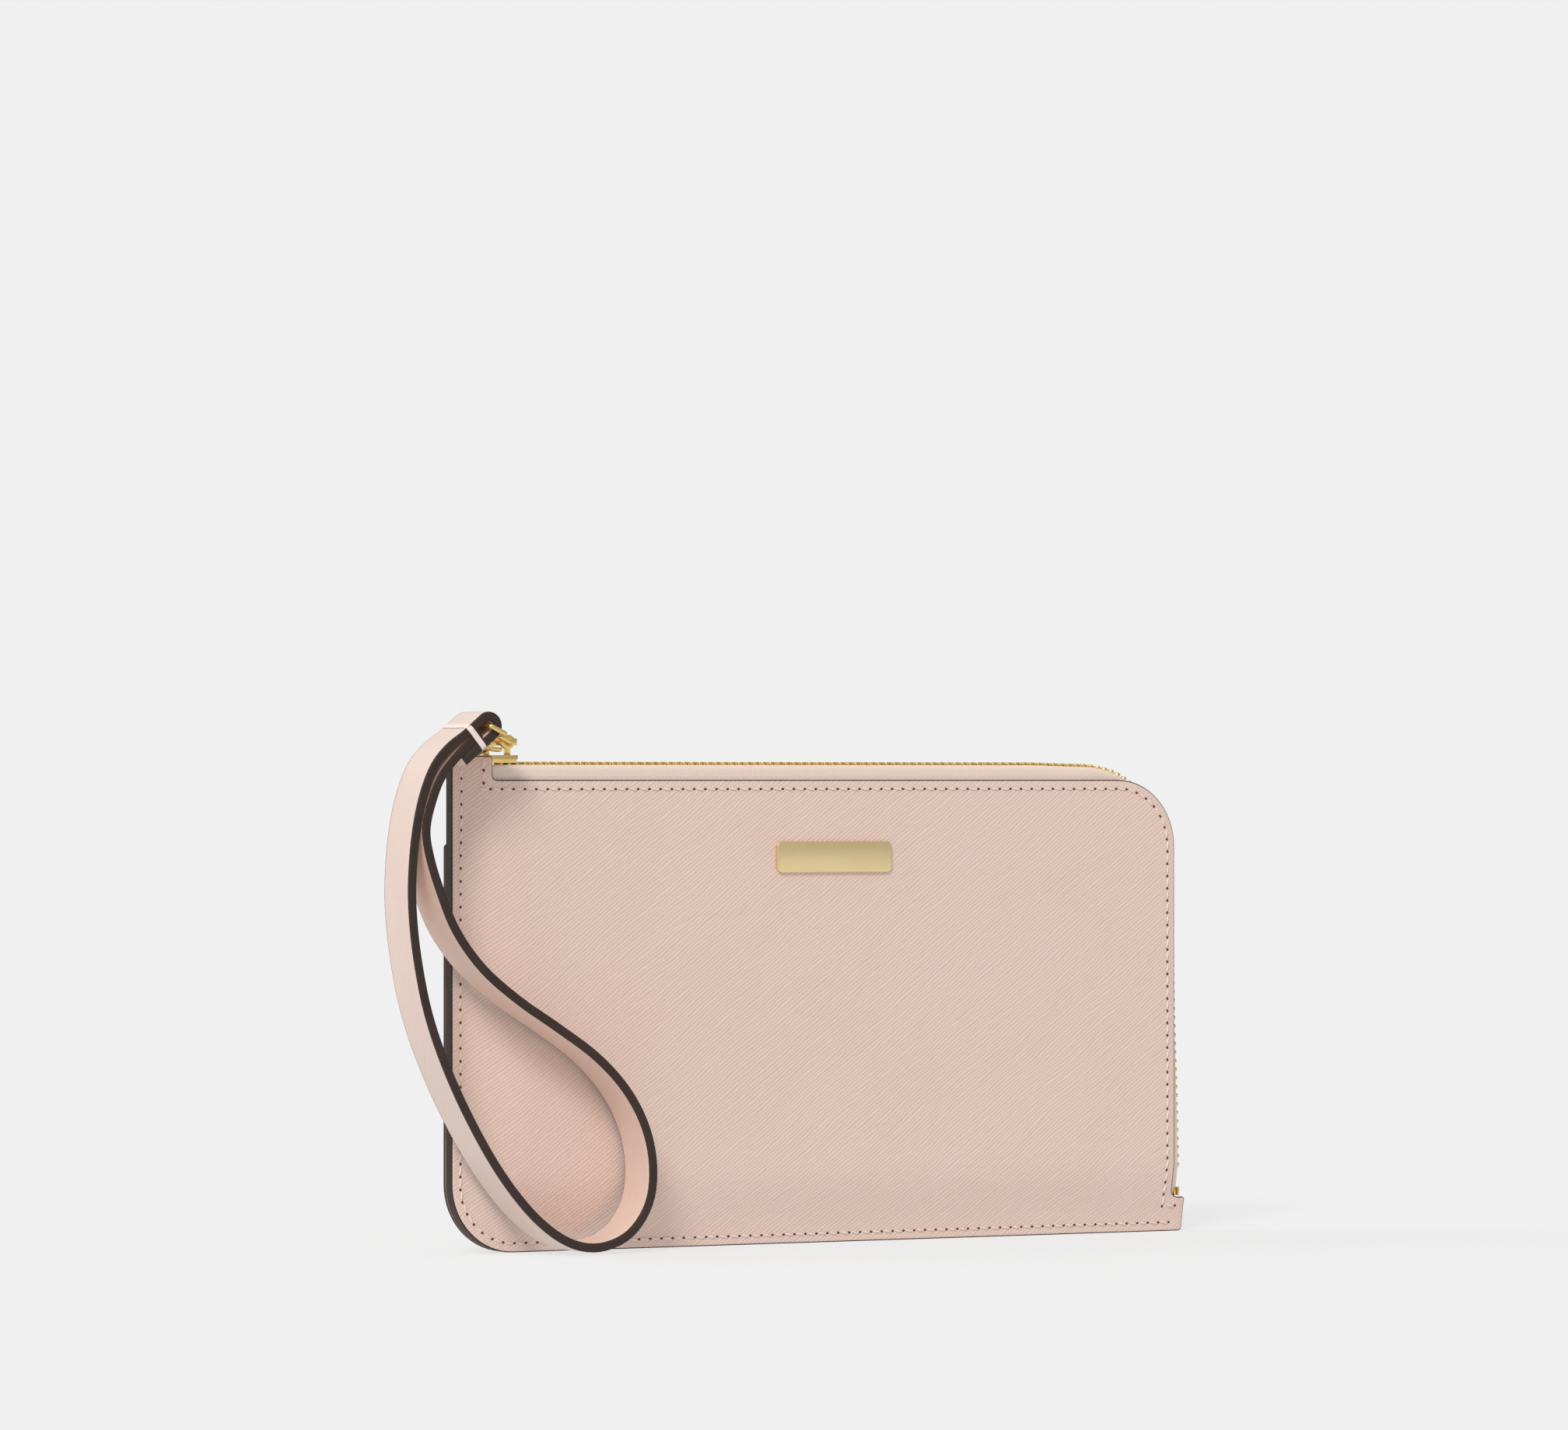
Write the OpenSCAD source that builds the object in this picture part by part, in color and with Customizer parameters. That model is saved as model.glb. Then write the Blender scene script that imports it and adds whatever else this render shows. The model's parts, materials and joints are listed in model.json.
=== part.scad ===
// Flat wristlet wallet: two leather panels stitched along the left and bottom edges, an L-shaped
// metal zip along the top and right edges, a flat pocket on the back, and a wrist strap that hangs
// from the zip slider by a puller, a link, a clasp and a wire ring.
// Millimetres. The bottom edge rests at z = 0, y = 0 is the middle of the zip, the front faces -Y.

/* [Wallet] */
// Overall width, from the left edge to the right tab
wallet_w = 217; // [200:1:235]
// Overall height, from the bottom edge to the top of the left tab
wallet_h = 126; // [115:1:140]
// Radius of the rounded panel corners
corner_r = 17.5; // [12:0.5:20]
// Half thickness of the stitched rim on the left and bottom
rim_half = 1.8; // [1.8:0.1:2.2]
// Half thickness over the middle of the body
mid_half = 5.5; // [5.4:0.1:6]
// Width of the left tab that closes the top end of the zip
tab_w = 9.7; // [9.5:0.1:11]
// Height of the right tab that closes the bottom end of the zip
tab_h = 9.1; // [9.1:0.1:11]

/* [Back pocket] */
// How far the back pocket's mouth lies below the top of the left tab
pocket_drop = 22.3; // [18:0.1:40]

/* [Zip] */
// Distance between two teeth of one row
tooth_pitch = 2.3; // [2.2:0.05:2.6]
// Width of each tape
tape_w = 15; // [12:0.5:16]
// Radius of the zip's bend at the top right
bend_r = 30; // [26:1:34]

/* [Strap] */
// Width of the wrist strap
strap_w = 14; // [10:0.5:14]
// Thickness of one of the strap's two plies
ply_t = 1.15; // [0.8:0.05:1.15]

/* [Emblem] */
// Width of the plain plate
emblem_w = 34; // [20:1:40]
// Height of the plain plate
emblem_h = 8; // [6:0.5:12]

/* [Hidden] */
$fn = 48;
eps = 0.01;

// Leather, board and lining
skin_t = 1.0;
board_t = 0.5;
lining_t = 0.3;
skin_in = skin_t;
board_in = skin_in + board_t;
lining_in = board_in + lining_t;
pocket_lining_t = 0.4;
pocket_skin_t = 1.3;

// Outline of the panels
left_x = -wallet_w / 2;
right_x = wallet_w / 2;
mouth_drop = 6.1;
mouth_inset = 4.5;
panel_top = wallet_h - mouth_drop;
panel_right = right_x - mouth_inset;
rim_flat = 4;
ramp_end = 9;
over = 1;

// Line of the zip's teeth: along the top, round a bend, and down the right side
path_top = panel_top + 3.8;
path_right = panel_right + 2.2;
bend_x = path_right - bend_r;
bend_z = path_top - bend_r;
tape_t = 0.5;
tape_gap = 1.0;
tape_far = mid_half - skin_t;
lining_clear = 5;
board_clear = tape_w + 0.3;

// Teeth
tooth_w = 1.0;
tooth_half_h = 0.85;
tooth_reach = 2.9;
tooth_head = 0.9;
tooth_slot = 0.28;
tooth_slot_y = 0.65;
first_tooth_x = left_x + 13.5;
last_tooth_z = 13;
run_top = bend_x - first_tooth_x;
run_bend = PI * bend_r / 2;
run_total = run_top + run_bend + bend_z - last_tooth_z;
tooth_count = floor(run_total / tooth_pitch);

// Slider
slider_x = left_x + tab_w - 0.4;
slider_len = 9;
slider_half_w = 3.5;
slider_inner = 3.05;
plate_t = 1.1;
plate_gap = 1.4;
flange_gap = 0.5;
slider_top = path_top + plate_gap + plate_t;

// Bridge over the slider, and the puller hooked under it
bridge_x0 = slider_x + 0.6;
bridge_len = 7.2;
bridge_bar = 1.2;
bridge_open = 2.4;
bridge_half_w = 0.8;
puller_x = slider_x + 4.2;
puller_z = slider_top + 1.4;
puller_t = 1.0;
puller_half_w = 2.2;
puller_hole_r = 1.3;
puller_hole_x = 6;
puller_tilt = 8;

// Link between the puller and the clasp
link_wire = 0.6;
link_r = 1.7;
link_len = 5;
link_tilt = 12;
link_x = puller_x - puller_hole_x * cos(puller_tilt);
link_y = -(puller_half_w + puller_hole_r) / 2;
link_z = puller_z + puller_hole_x * sin(puller_tilt);

// Clasp
hook_wire = 0.7;
hook_r = 1.9;
hook_y = link_y - link_len * cos(link_tilt);
hook_z = link_z + link_len * sin(link_tilt);
clasp_half_h = 0.875;
trigger_half_h = 0.325;
trigger_pin_r = 0.4;
trigger_dx = 2.34;
trigger_dy = -4.46;
eye_dx = 1.54;
eye_x = link_x + eye_dx;
eye_r = 1.8;
eye_pin_r = 0.7;
eye_clear = 0.05;

// Ring that carries the strap
ring_wire = eye_pin_r;
ring_arm_r = 0.66;
ring_step_r = 0.64;
ring_neck_r = 0.62;
wire_lap = 0.35;
strap_y = -13.8;
bar_x = -107.5;
bar_z = 133.4;
ring_low_y = [-16.4, -12.9];
ring_shoulder = 4.55;
ring_neck = 4;
bar_half = strap_w / 2 + 0.85;

// Strap: middle line of its thickness, from the folded tail round the bar and the wrist loop
fold_r = 2.5;
fold_angle = 219.5;
fold_dir = [cos(fold_angle), sin(fold_angle)];
fold_normal = [fold_dir[1], -fold_dir[0]];
tail_len = 11;
straight_len = 6;
tuck_from = 9;
tuck_to = 2.9;
fold_step = 15;
spline_steps = 3;
// Points of the wrist loop, from the outer run down, round the bottom and up the inner run
loop_points = [
    [-118.6, 128], [-122.6, 123.4], [-125.6, 116.5], [-127.6, 108], [-128.7, 98], [-128.8, 88],
    [-127.5, 76], [-124.5, 62], [-119.5, 48.5], [-112.5, 34.5], [-104, 21], [-94.5, 10],
    [-85, 3.4], [-76, 1.8], [-67.5, 5], [-62, 12.5], [-60.8, 22], [-63, 32],
    [-68.5, 41.5], [-77, 50], [-88, 57.5], [-99, 64.5], [-109, 72.5], [-116.5, 82],
    [-121, 92], [-124, 101], [-124.9, 108], [-122.8, 116], [-119.9, 121.8]
];
keeper_at = 4.6;
keeper_len = 1.2;
keeper_t = 0.3;
keeper_clear = 0.05;

// Card slots inside
card_w = 100;
card_base_z = 20;
card_tops = [96, 84, 72];
card_t = 0.6;

// Emblem
emblem_z = 100;
emblem_t = 0.8;
emblem_corner = 1.5;
stud_r = 0.6;
stud_clear = 0.02;
stud_dx = emblem_w / 2 - 4;
washer_r = 2;
washer_t = 0.4;

// ---- Shared shapes ----

// Lays a flat outline of x and z upright, filling y0 to y1
module upright(y0, y1) {
    translate([0, y1, 0]) rotate([90, 0, 0]) linear_extrude(y1 - y0) children();
}

// Waste outside a rounded corner whose tip is at the origin
module corner_waste(r) {
    difference() {
        translate([-over, -over]) square(r + over);
        translate([r, r]) circle(r);
    }
}

// Small web that fills an inside corner at the origin
module corner_fill(r) {
    difference() {
        translate([-eps, -eps]) square(r);
        translate([r, r]) circle(r);
    }
}

// Half thickness profile across the body, lowered by depth
function rise(start, finish, depth) = [
    [start - over, -over], [start - over, rim_half - depth], [start + rim_flat, rim_half - depth],
    [start + ramp_end, mid_half - depth], [finish + over, mid_half - depth], [finish + over, -over]
];

// Everything below the body's surface, lowered by depth
module under_surface(depth) {
    intersection() {
        translate([0, 0, -over]) linear_extrude(wallet_h + 2 * over)
            polygon(rise(left_x, right_x, depth));
        rotate([90, 0, 90]) translate([0, 0, left_x - over]) linear_extrude(wallet_w + 2 * over)
            polygon([for (p = rise(0, wallet_h, depth)) [p[1], p[0]]]);
    }
}

module panel_outline() {
    difference() {
        union() {
            difference() {
                translate([left_x, 0]) square([wallet_w, wallet_h]);
                translate([left_x + tab_w, panel_top]) square([wallet_w, wallet_h]);
                translate([panel_right, tab_h]) square([wallet_w, wallet_h]);
            }
            translate([left_x + tab_w, panel_top]) corner_fill(1.2);
            translate([panel_right, tab_h]) corner_fill(2.2);
        }
        translate([left_x, 0]) corner_waste(corner_r);
        translate([panel_right, panel_top]) rotate(180) corner_waste(corner_r);
    }
}

// Area inside the line of teeth, moved inwards by inset
module inside_zip(inset) {
    difference() {
        translate([-2 * wallet_w, -wallet_h])
            square([2 * wallet_w + path_right - inset, wallet_h + path_top - inset]);
        translate([path_right - inset, path_top - inset]) rotate(180) corner_waste(bend_r - inset);
    }
}

// Area of the panel that a layer fills when it stops short of the zip
module inner_outline(inset) {
    intersection() {
        panel_outline();
        union() {
            inside_zip(inset);
            translate([left_x, 0]) square([rim_flat, wallet_h]);
            translate([left_x, 0]) square([wallet_w, rim_flat]);
        }
    }
}

// One layer of the body on the +Y side, between two depths below the surface
module layer(from, to) {
    intersection() {
        upright(0, mid_half + 3) children();
        difference() {
            under_surface(from);
            under_surface(to);
        }
    }
}

module front() {
    mirror([0, 1, 0]) children();
}

module emblem_holes(r) {
    for (dx = [-stud_dx, stud_dx])
        translate([dx, 0, emblem_z]) rotate([90, 0, 0]) cylinder(h = mid_half + 3, r = r);
}

// Straight wire from p to q, run on past both ends so that the next one joins it
module wire(p, q, r) {
    run = q - p;
    translate(p) rotate([0, acos(run[2] / norm(run)), atan2(run[1], run[0])])
        translate([0, 0, -wire_lap]) cylinder(h = norm(run) + 2 * wire_lap, r = r);
}

// ---- Leather body ----

module front_panel() {
    color([0.87, 0.76, 0.71]) difference() {
        front() layer(0, skin_in) panel_outline();
        emblem_holes(stud_r + stud_clear);
    }
}

module front_board() {
    color([0.75, 0.72, 0.66]) difference() {
        front() layer(skin_in, board_in) inner_outline(board_clear);
        emblem_holes(stud_r + stud_clear);
    }
}

module front_lining() {
    color([0.8, 0.66, 0.6]) difference() {
        front() layer(board_in, lining_in) inner_outline(lining_clear);
        emblem_holes(stud_r + stud_clear);
    }
}

module back_panel() {
    color([0.87, 0.76, 0.71]) layer(0, skin_in) panel_outline();
}

module back_board() {
    color([0.75, 0.72, 0.66]) layer(skin_in, board_in) inner_outline(board_clear);
}

module back_lining() {
    color([0.8, 0.66, 0.6]) layer(board_in, lining_in) inner_outline(lining_clear);
}

module pocket_outline() {
    intersection() {
        panel_outline();
        translate([left_x, 0]) square([wallet_w, wallet_h - pocket_drop]);
    }
}

module back_pocket_panel() {
    color([0.87, 0.76, 0.71])
        layer(-pocket_lining_t - pocket_skin_t, -pocket_lining_t) pocket_outline();
}

module back_pocket_lining() {
    color([0.8, 0.66, 0.6]) layer(-pocket_lining_t, 0) pocket_outline();
}

// Slot panels lie on each other against the back lining, the tallest first
module card_slot(i) {
    wall = mid_half - lining_in;
    color([0.85, 0.72, 0.66]) upright(wall - (i + 1) * card_t, wall - i * card_t)
        translate([-card_w / 2, card_base_z]) square([card_w, card_tops[i] - card_base_z]);
}

// ---- Zip ----

module zip_tape() {
    color([0.9, 0.82, 0.78]) intersection() {
        union() {
            upright(tape_far - tape_t, tape_far) difference() {
                inside_zip(-tape_t / 2);
                inside_zip(tape_w);
            }
            upright(tape_gap, tape_far) difference() {
                inside_zip(-tape_t / 2);
                inside_zip(tape_t / 2);
            }
        }
        translate([left_x + rim_flat, 0, rim_flat]) cube([wallet_w, wallet_h, wallet_h]);
        under_surface(skin_in);
    }
}

module zip_tape_front() {
    front() zip_tape();
}

module zip_tape_back() {
    zip_tape();
}

// Clip closed on the edge of a tape, reaching head past the middle
module clip(w, head) {
    rotate([90, 0, 90]) translate([0, 0, -w / 2]) linear_extrude(w) polygon([
        [-head, -tooth_half_h], [tooth_reach, -tooth_half_h], [tooth_reach, -tooth_slot],
        [tooth_slot_y, -tooth_slot], [tooth_slot_y, tooth_slot], [tooth_reach, tooth_slot],
        [tooth_reach, tooth_half_h], [-head, tooth_half_h]
    ]);
}

// Puts a tooth at distance s along the line of the zip
module along_zip(s) {
    turned = (s - run_top) / bend_r * 180 / PI;
    if (s < run_top)
        translate([first_tooth_x + s, 0, path_top]) children();
    else if (turned < 90)
        translate([bend_x, 0, bend_z]) rotate([0, turned, 0]) translate([0, 0, bend_r]) children();
    else
        translate([path_right, 0, bend_z - (s - run_top - run_bend)]) rotate([0, 90, 0]) children();
}

module teeth(phase) {
    color([0.83, 0.7, 0.45]) for (i = [0 : tooth_count - 2])
        along_zip((i + phase) * tooth_pitch) clip(tooth_w, tooth_head);
}

module zip_teeth_front() {
    front() teeth(0);
}

module zip_teeth_back() {
    teeth(0.5);
}

module zip_top_stops() {
    color([0.83, 0.7, 0.45]) for (side = [0, 1]) mirror([0, side, 0])
        translate([slider_x - 1.1, 0, path_top]) clip(1.4, -0.3);
}

module zip_bottom_stop() {
    color([0.83, 0.7, 0.45]) for (side = [0, 1]) mirror([0, side, 0])
        translate([path_right, 0, last_tooth_z - 2.4]) rotate([0, 90, 0]) clip(2.2, 0);
}

// ---- Slider ----

module slider_plate() {
    chamfer = 0.8;
    w = slider_half_w;
    polygon([
        [0, -w + chamfer], [chamfer, -w], [slider_len - chamfer, -w], [slider_len, -w + chamfer],
        [slider_len, w - chamfer], [slider_len - chamfer, w], [chamfer, w], [0, w - chamfer]
    ]);
}

module slider_body() {
    color([0.87, 0.76, 0.57]) translate([slider_x, 0, path_top]) {
        for (side = [0, 1]) mirror([0, 0, side]) {
            translate([0, 0, plate_gap]) linear_extrude(plate_t) slider_plate();
            for (edge = [0, 1]) mirror([0, edge, 0])
                translate([0.8, slider_inner, flange_gap])
                    cube([slider_len - 1.6, slider_half_w - slider_inner, plate_gap - flange_gap + eps]);
        }
        // Wedge that parts the two rows of teeth
        translate([0, 0, -plate_gap - eps]) linear_extrude(2 * plate_gap + 2 * eps)
            polygon([[0.3, 0], [1.4, -0.55], [2.9, 0], [1.4, 0.55]]);
    }
}

module slider_bridge() {
    color([0.87, 0.76, 0.57]) translate([bridge_x0, 0, slider_top])
        upright(-bridge_half_w, bridge_half_w) difference() {
            square([bridge_len, bridge_open + 0.9]);
            translate([bridge_bar, -over])
                square([bridge_len - 2 * bridge_bar, bridge_open + over]);
            translate([0, bridge_open + 0.9]) rotate(-90) corner_waste(1.2);
            translate([bridge_len, bridge_open + 0.9]) rotate(180) corner_waste(1.2);
        }
}

// ---- Puller, link and clasp ----

module puller_outline() {
    w = puller_half_w;
    difference() {
        polygon([[0, -w], [-7, -w], [-9, -0.7], [-9, 0.7], [-7, w], [0, w]]);
        translate([-4.3, -1.15]) square([3.7, 2.3]);
        translate([-puller_hole_x, 0]) circle(puller_hole_r);
    }
}

module puller() {
    color([0.87, 0.76, 0.57]) translate([puller_x, 0, puller_z]) rotate([0, puller_tilt, 0]) {
        translate([0, 0, -puller_t / 2]) linear_extrude(puller_t) puller_outline();
        rotate([90, 0, 0]) translate([0, 0, -puller_half_w])
            cylinder(h = 2 * puller_half_w, r = puller_t * 0.6);
    }
}

// Long link with two round ends
module link_ring() {
    color([0.9, 0.8, 0.6]) translate([link_x, link_y, link_z]) rotate([-link_tilt, 0, 0])
        rotate([90, 0, -90]) {
            rotate(90) rotate_extrude(angle = 180) translate([link_r, 0]) circle(link_wire);
            translate([link_len, 0, 0]) rotate(-90) rotate_extrude(angle = 180)
                translate([link_r, 0]) circle(link_wire);
            for (side = [-link_r, link_r])
                translate([0, side, 0]) rotate([0, 90, 0]) cylinder(h = link_len, r = link_wire);
        }
}

module clasp_body() {
    block_y = hook_y - 5.36;
    slot_floor = 0.1;
    gate = 35;
    color([0.87, 0.76, 0.57]) difference() {
        union() {
            translate([link_x, hook_y - hook_r, hook_z]) rotate(gate)
                rotate_extrude(angle = 360 - 2 * gate) translate([hook_r, 0]) circle(hook_wire);
            translate([link_x - 0.7, block_y, hook_z - clasp_half_h]) cube([4.6, 2, 2 * clasp_half_h]);
            translate([eye_x + 0.9, -15.4, hook_z - clasp_half_h])
                cube([1.5, 15.4 + block_y + eps, 2 * clasp_half_h]);
            translate([eye_x, -13.9, hook_z]) rotate([90, 0, 0]) cylinder(h = 1.5, r = eye_r);
        }
        // Slot for the trigger, its pin's bore, and the eye's bore
        translate([link_x + 0.75, block_y + slot_floor, hook_z - trigger_half_h - 0.05])
            cube([6, 3, 2 * trigger_half_h + 0.1]);
        translate([link_x + trigger_dx, hook_y + trigger_dy, hook_z - 2])
            cylinder(h = 4, r = trigger_pin_r);
        translate([eye_x, -13, hook_z]) rotate([90, 0, 0])
            cylinder(h = 3, r = eye_pin_r + eye_clear);
    }
}

module clasp_trigger() {
    color([0.8, 0.68, 0.45])
        translate([link_x + trigger_dx, hook_y + trigger_dy, hook_z - trigger_half_h])
            linear_extrude(2 * trigger_half_h) difference() {
                union() {
                    circle(0.75);
                    polygon([[-0.75, 0], [0.3, 0.7], [-0.3, 3.2], [-1.05, 3.2], [-1.25, 1.6]]);
                    translate([1.6, 0.5]) circle(0.75);
                    polygon([[0, -0.5], [1.6, -0.2], [1.6, 1.2], [0, 0.6]]);
                }
                circle(trigger_pin_r + 0.05);
            }
}

module trigger_pin() {
    color([0.7, 0.6, 0.4])
        translate([link_x + trigger_dx, hook_y + trigger_dy, hook_z - clasp_half_h])
            cylinder(h = 2 * clasp_half_h, r = trigger_pin_r);
}

// Leaf spring that pushes the trigger shut
module trigger_spring() {
    color([0.6, 0.6, 0.62])
        translate([link_x + 0.8, hook_y - 4.9, hook_z - 0.25]) cube([0.12, 1.3, 0.5]);
}

module strap_ring() {
    high_y = [strap_y - bar_half, strap_y + bar_half];
    color([0.9, 0.8, 0.6]) {
        wire([bar_x, high_y[0], bar_z], [bar_x, high_y[1], bar_z], ring_wire);
        wire([eye_x, ring_low_y[0], hook_z], [eye_x, ring_low_y[1], hook_z], ring_wire);
        // Each side leaves the eye as a narrow neck, steps out, and runs straight past the strap's fold
        for (i = [0, 1]) {
            low = [eye_x, ring_low_y[i], hook_z];
            high = [bar_x, high_y[i], bar_z];
            fall = [eye_x - bar_x, 0, hook_z - bar_z];
            neck = low - fall / norm(fall) * ring_neck;
            shoulder = high + fall / norm(fall) * ring_shoulder;
            wire(low, neck, ring_neck_r);
            wire(neck, shoulder, ring_step_r);
            wire(shoulder, high, ring_arm_r);
        }
    }
}

// ---- Strap ----

function spline(a, b, c, d, t) =
    0.5 * (2 * b + (c - a) * t + (2 * a - 5 * b + 4 * c - d) * t * t
    + (3 * b - a - 3 * c + d) * t * t * t);

function smooth(p, n) = [
    for (i = [1 : len(p) - 3], k = [0 : n - 1]) spline(p[i - 1], p[i], p[i + 1], p[i + 2], k / n)
];

bar = [bar_x, bar_z];
outer_start = bar + fold_normal * fold_r;
outer_end = outer_start + fold_dir * straight_len;
tuck_start = bar + fold_dir * tuck_from;
tuck_end = bar + fold_dir * tuck_to;
middle_line = concat(
    [bar - fold_normal * fold_r + fold_dir * tail_len],
    [for (a = [0 : fold_step : 180])
        bar + fold_r * [cos(fold_angle + 90 + a), sin(fold_angle + 90 + a)]],
    smooth(concat([outer_start, outer_end], loop_points, [tuck_start, tuck_end]), spline_steps),
    [tuck_start, tuck_end]
);

function side_dir(p, i) =
    let (a = p[max(i - 1, 0)], b = p[min(i + 1, len(p) - 1)], run = b - a)
    [-run[1], run[0]] / norm(run);

function moved(p, by) = [for (i = [0 : len(p) - 1]) p[i] + side_dir(p, i) * by];

function backwards(p) = [for (i = [len(p) - 1 : -1 : 0]) p[i]];

module ply(from, to) {
    upright(strap_y - strap_w / 2, strap_y + strap_w / 2)
        polygon(concat(moved(middle_line, from), backwards(moved(middle_line, to))));
}

module strap_outer_ply() {
    color([0.88, 0.79, 0.74]) ply(-ply_t, 0);
}

module strap_inner_ply() {
    color([0.83, 0.7, 0.63]) ply(0, ply_t);
}

module strap_keeper() {
    half_h = fold_r + ply_t + keeper_clear;
    half_w = strap_w / 2 + keeper_clear;
    color([0.88, 0.85, 0.85])
        translate([bar_x, strap_y, bar_z]) rotate([0, -fold_angle, 0]) translate([keeper_at, 0, 0])
            difference() {
                cube([keeper_len, 2 * (half_w + keeper_t), 2 * (half_h + keeper_t)], center = true);
                cube([keeper_len + over, 2 * half_w, 2 * half_h], center = true);
            }
}

// ---- Emblem ----

module emblem_plate() {
    color([0.9, 0.8, 0.6]) {
        upright(-mid_half - emblem_t, -mid_half) translate([0, emblem_z]) union() {
            square([emblem_w - 2 * emblem_corner, emblem_h], center = true);
            square([emblem_w, emblem_h - 2 * emblem_corner], center = true);
            for (sx = [-1, 1], sz = [-1, 1])
                translate([sx * (emblem_w / 2 - emblem_corner), sz * (emblem_h / 2 - emblem_corner)])
                    circle(emblem_corner);
        }
        for (dx = [-stud_dx, stud_dx])
            translate([dx, -mid_half + lining_in + washer_t, emblem_z]) rotate([90, 0, 0])
                cylinder(h = lining_in + washer_t + eps, r = stud_r);
    }
}

module emblem_washers() {
    color([0.8, 0.7, 0.5]) for (dx = [-stud_dx, stud_dx])
        translate([dx, -mid_half + lining_in + washer_t, emblem_z]) rotate([90, 0, 0])
            difference() {
                cylinder(h = washer_t, r = washer_r);
                translate([0, 0, -over]) cylinder(h = washer_t + 2 * over, r = stud_r);
            }
}

front_panel();
front_board();
front_lining();
back_panel();
back_board();
back_lining();
back_pocket_panel();
back_pocket_lining();
card_slot(0);  // card_slot_1
card_slot(1);  // card_slot_2
card_slot(2);  // card_slot_3
zip_tape_front();
zip_tape_back();
zip_teeth_front();
zip_teeth_back();
zip_top_stops();
zip_bottom_stop();
slider_body();
slider_bridge();
puller();
link_ring();
clasp_body();
clasp_trigger();
trigger_pin();
trigger_spring();
strap_ring();
strap_outer_ply();
strap_inner_ply();
strap_keeper();
emblem_plate();
emblem_washers();
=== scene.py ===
import json
import math
import random

import bmesh
import bpy
from mathutils import Matrix, Vector


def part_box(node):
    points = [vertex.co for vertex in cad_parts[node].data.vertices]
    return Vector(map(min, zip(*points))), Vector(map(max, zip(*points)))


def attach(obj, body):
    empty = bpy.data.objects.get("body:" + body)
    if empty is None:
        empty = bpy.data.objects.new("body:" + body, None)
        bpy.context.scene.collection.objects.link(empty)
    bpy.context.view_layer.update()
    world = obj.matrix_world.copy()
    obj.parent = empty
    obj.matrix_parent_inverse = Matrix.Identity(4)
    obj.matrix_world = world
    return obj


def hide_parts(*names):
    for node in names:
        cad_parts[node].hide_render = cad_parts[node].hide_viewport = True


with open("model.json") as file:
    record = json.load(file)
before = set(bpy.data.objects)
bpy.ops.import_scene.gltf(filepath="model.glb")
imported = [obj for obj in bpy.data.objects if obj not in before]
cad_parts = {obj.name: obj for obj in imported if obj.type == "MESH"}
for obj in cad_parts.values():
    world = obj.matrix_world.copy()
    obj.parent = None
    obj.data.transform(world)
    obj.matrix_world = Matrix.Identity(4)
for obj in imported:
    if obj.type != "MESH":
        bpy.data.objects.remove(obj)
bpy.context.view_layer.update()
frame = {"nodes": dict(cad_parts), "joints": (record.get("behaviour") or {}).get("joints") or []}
print("frame loaded")

mm = 0.001       # lengths are in metres; node maths on leather and cloth is in millimetres
perMetre = 1000.0


# places taken from the frame

def corners(node):
    low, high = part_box(node)
    return Vector(low), Vector(high)


panelLow, panelHigh = corners("front_panel")
pocketHigh = corners("back_pocket_panel")[1]
teethHigh = corners("zip_teeth_front")[1]
strapLow, strapHigh = corners("strap_outer_ply")
jointAt = {j["name"]: Vector(j["pos_m"]) for j in frame["joints"] if "pos_m" in j}

wallet = {
    "left": panelLow.x,
    "right": panelHigh.x,
    "top": panelHigh.z,
    "mid": -panelLow.y,             # half thickness over the middle
    "rim": 1.8 * mm,                # half thickness at the stitched rim
    "skin": 1.0 * mm,
    "board": 0.5 * mm,
    "lining": 0.3 * mm,
    "cornerR": 17.5 * mm,
    "tabW": 9.7 * mm,
    "tabH": 9.1 * mm,
    "panelTop": panelHigh.z - 6.1 * mm,
    "panelRight": panelHigh.x - 4.5 * mm,
    "swell": 20 * mm,               # how far the rim takes to reach full thickness
    "swellTop": 9.5 * mm,           # the same at the top, and the heights between which it changes
    "swellFrom": 80 * mm,
    "swellOver": 35 * mm,
    "pocketTop": pocketHigh.z,
    "pocketSkin": 1.7 * mm,
}


# node maths

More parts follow.
